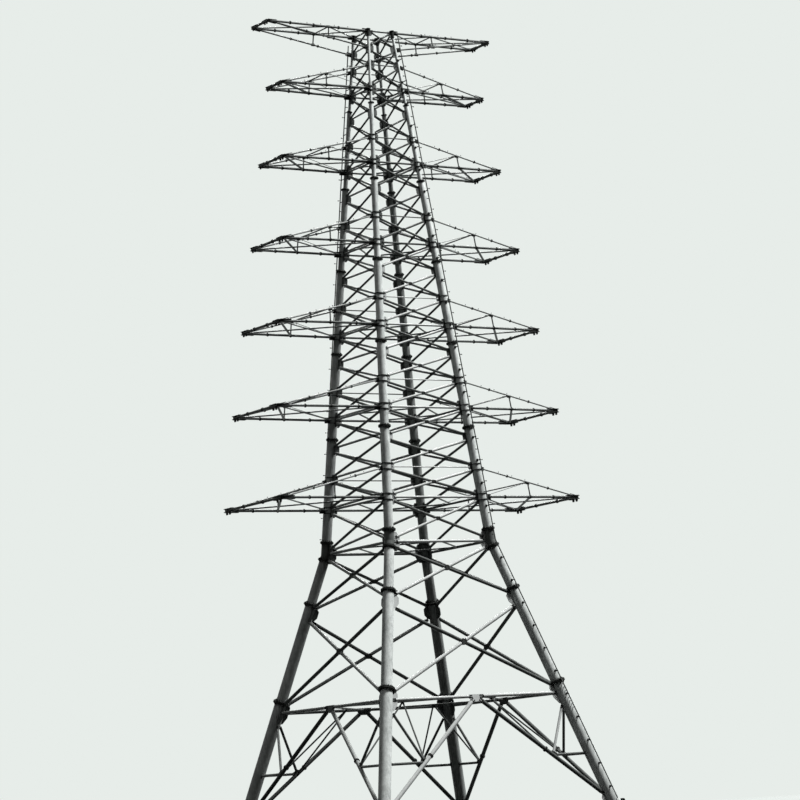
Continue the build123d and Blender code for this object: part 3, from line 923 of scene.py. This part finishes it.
def buildTopCrossarm(mesh, low, high):
    lowRadius, highRadius, lacing = arm["chordTop"] / 2, topArm["chord"] / 2, arm["lacing"]
    tips = [Vector((-topArm["reach"], hand * topArm["endHalf"], high)) for hand in (-1, 1)]
    lows, highs = ([legPoint(height, corner) for corner in (near, back)] for height in (low, high))
    lowMid, highMid = ([between(root, tip, topArm["node"]) for root, tip in zip(roots, tips)]
                       for roots in (lows, highs))
    beam = heading(*tips)
    addRod(mesh, *tips, arm["endBar"] / 2, arm["beamSides"], otherSlot)
    addLacing(mesh, *highMid, lacing, arm["crossInset"])
    for a, hand in ((0, -1), (1, 1)):
        b = 1 - a
        addChord(mesh, lows[a], tips[a], lowRadius, topArm["lowInset"], topArm["lowJoints"])
        addChord(mesh, highs[a], tips[a], highRadius, topArm["highInset"], topArm["highJoints"])
        addStepBolts(mesh, highs[a], tips[a], highRadius, topArm["pegStart"])
        addLacing(mesh, lowMid[a], highMid[a], lacing, topArm["postInset"])
        addLacing(mesh, highs[a], highMid[b], lacing, topArm["highInset"])
        addLacing(mesh, highMid[a], tips[b], lacing, topArm["tipInset"])
        lowWay, highWay = heading(lows[a], tips[a]), heading(highs[a], tips[a])
        for node in (lowMid[a], highMid[a]):
            addPlate(mesh, node, highWay, alongLine, *armPlates["topArmNode"])
        addTipPlates(mesh, tips[a], hand, [-highWay, beam * -hand], arm["tipPlateHigh"])
        addPlate(mesh, tips[a] - lowWay * topArm["tipPlace"], -lowWay, alongLine, *armPlates["topArmTip"])
        for root, way in ((lows[a], lowWay), (highs[a], highWay)):
            addPlate(mesh, root + way * topArm["rootPlace"], way, alongLine, *armPlates["topArmRoot"])


for i, sizes in enumerate(zip(armLevels, armHeads, arm["reach"], arm["endHalf"])):
    placePieces(buildCrossarm, sizes, f"crossarm_{i + 1}_{{}}_dressed", f"crossarm_{i + 1}_{{}}",
                armPlaces)
placePieces(buildTopCrossarm, (levels[-2], topHeight - topArm["chord"]), "crossarm_top_{}_dressed",
            "crossarm_top_{}", armPlaces)
print("crossarms made")

# Climbing rails, held to the leg by clamp bands, with pegs on the upper body and rungs under the belt.
# A tube, a band and a foot have a radius and sides.

rail = dict(
    offset=0.345, tube=(0.022, 8), start=0.5, belowTop=0.3, bandSpacing=0.86, band=(0.018, 8),
    bandGap=0.004, bandOver=1.08, foot=(0.05, 10), footHalf=0.03, pegSpacing=0.4, peg=0.09,
    pegRadius=0.014, pegHead=0.024, pegOver=1.15, rungSpacing=0.125, rungs=8, rungTop=0.3,
    rungStart=0.6, rungRadius=0.011,
)


def buildClimbingRail(mesh):
    outward = Vector((0, -rail["offset"], 0))
    end = topHeight - rail["belowTop"]
    for low, high in ((rail["start"], waist), (waist, end)):
        addRod(mesh, legPoint(low, right) + outward, legPoint(high, right) + outward, *rail["tube"])
        for i in range(int((high - low) / rail["bandSpacing"])):
            height = low + rail["bandSpacing"] * (i + 0.5)
            point = legPoint(height, right)
            seat = (legRadius(height) + rail["bandGap"]) / rail["offset"]
            half = rail["footHalf"]
            for first, last, kind in ((seat, rail["bandOver"], "band"), (seat - half, seat + half, "foot")):
                addRod(mesh, point + outward * first, point + outward * last, *rail[kind], plateSlot)
    for i in range(int((end - waist) / rail["pegSpacing"])):
        point = legPoint(waist + rail["pegSpacing"] * (i + 0.5), right) + outward
        side = Vector((rail["peg"] * (1 if i % 2 else -1), 0, 0))
        addRod(mesh, point, point + side, rail["pegRadius"], hexagon, boltSlot)
        addRod(mesh, point + side, point + side * rail["pegOver"], rail["pegHead"], hexagon, boltSlot)
    for i in range(rail["rungs"]):
        point = legPoint(belt + rail["rungTop"] - rail["rungSpacing"] * i, right)
        start = point + outward * rail["rungStart"]
        addRod(mesh, start, point + outward, rail["rungRadius"], hexagon, plateSlot)


placePieces(buildClimbingRail, (), "climbingRail_{}", "climbing_rail_{}", railPlaces)
print("climbing rails made")

# Floor, light and camera

studio = dict(
    floor=(0.315, 0.332, 0.321, 1), bounce=(0.012, 0.012, 0.012, 1), floorHalf=50,
    sky=(0.80, 0.845, 0.815, 1), fade=(14, 36), ambient=(0.95, 0.98, 0.96, 1),
    ambientStrength=0.004, aim=(0, 0, 15),
)
softboxes = dict(
    keyLight=dict(place=(51, -34, 106), size=22, power=285000),
    fillLight=dict(place=(-50, -15, 102), size=50, power=16000),
    backLight=dict(place=(45, 69, 72), size=40, power=120000),
)
photoView = dict(place=(-58.50, -90.11, 0.80), yaw=33.04, pitch=7.92, roll=-3.94, lens=130.5, clipEnd=2000)


def emptyTree(owner):
    owner.use_nodes = True
    owner.node_tree.nodes.clear()
    return owner.node_tree


def mixShader(tree, factor, first, second):
    mix = newNode(tree, "MixShader")
    for socket, source in zip(mix.inputs, (factor, first, second)):
        wire(tree, source, socket)
    return mix.outputs["Shader"]


def paleShader(tree, target, pale, plain):
    # The camera, gloss and glass see the pale colour; all else meets the plain surface or light
    path = newNode(tree, "LightPath")
    seen = mathNode(tree, "MAXIMUM", path.outputs["Is Camera Ray"], path.outputs["Is Glossy Ray"])
    seen = mathNode(tree, "MAXIMUM", seen, path.outputs["Is Transmission Ray"])
    wire(tree, mixShader(tree, seen, plain, pale), target.inputs["Surface"])


world = bpy.data.worlds.new("paleSky")
tree = emptyTree(world)
seenSky = newNode(tree, "Background", Color=studio["sky"])
softSky = newNode(tree, "Background", Color=studio["ambient"], Strength=studio["ambientStrength"])
paleShader(tree, newNode(tree, "OutputWorld"), seenSky.outputs["Background"],
           softSky.outputs["Background"])
bpy.context.scene.world = world

floorMesh = bmesh.new()
bmesh.ops.create_grid(floorMesh, x_segments=1, y_segments=1, size=studio["floorHalf"])
floorData = bpy.data.meshes.new("floor")
floorMesh.to_mesh(floorData)
floorMesh.free()
floor = newObject("floor", floorData)
floorFinish = bpy.data.materials.new("paleFloor")
tree = emptyTree(floorFinish)
nearFloor = newNode(tree, "BsdfDiffuse", Color=studio["floor"])
dimFloor = newNode(tree, "BsdfDiffuse", Color=studio["bounce"])
# Far from the tower the camera sees the floor melt into the sky; near it the floor keeps its shadow
distance = newNode(tree, "VectorMath")
distance.operation = "LENGTH"
wire(tree, newNode(tree, "TexCoord").outputs["Object"], distance.inputs[0])
farSky = newNode(tree, "Emission", Color=studio["sky"])
melted = mixShader(tree, rangeNode(tree, distance.outputs["Value"], *studio["fade"]),
                   nearFloor.outputs["BSDF"], farSky.outputs["Emission"])
paleShader(tree, newNode(tree, "OutputMaterial"), melted, dimFloor.outputs["BSDF"])
floorData.materials.append(floorFinish)

for name, box in softboxes.items():
    light = bpy.data.lights.new(name, "AREA")
    light.size = box["size"]
    light.energy = box["power"]
    lamp = newObject(name, light)
    lamp.location = box["place"]
    aim = Vector(studio["aim"]) - Vector(box["place"])
    lamp.rotation_euler = aim.to_track_quat("-Z", "Y").to_euler()
    lamp.visible_camera = False

camera = newObject("photoCamera", bpy.data.cameras.new("photoCamera"))
camera.data.lens = photoView["lens"]
camera.data.clip_end = photoView["clipEnd"]
yaw, pitch, roll = (math.radians(photoView[key]) for key in ("yaw", "pitch", "roll"))
forward = Vector((math.sin(yaw) * math.cos(pitch), math.cos(yaw) * math.cos(pitch), math.sin(pitch)))
level = Vector((math.cos(yaw), -math.sin(yaw), 0))
upright = level.cross(forward)
rightWay = level * math.cos(roll) + upright * math.sin(roll)
upWay = upright * math.cos(roll) - level * math.sin(roll)
matrix = Matrix((rightWay, upWay, -forward)).transposed().to_4x4()
matrix.translation = photoView["place"]
camera.matrix_world = matrix
bpy.context.scene.camera = camera
bpy.context.scene.view_settings.view_transform = "Standard"
print("studio and camera made")
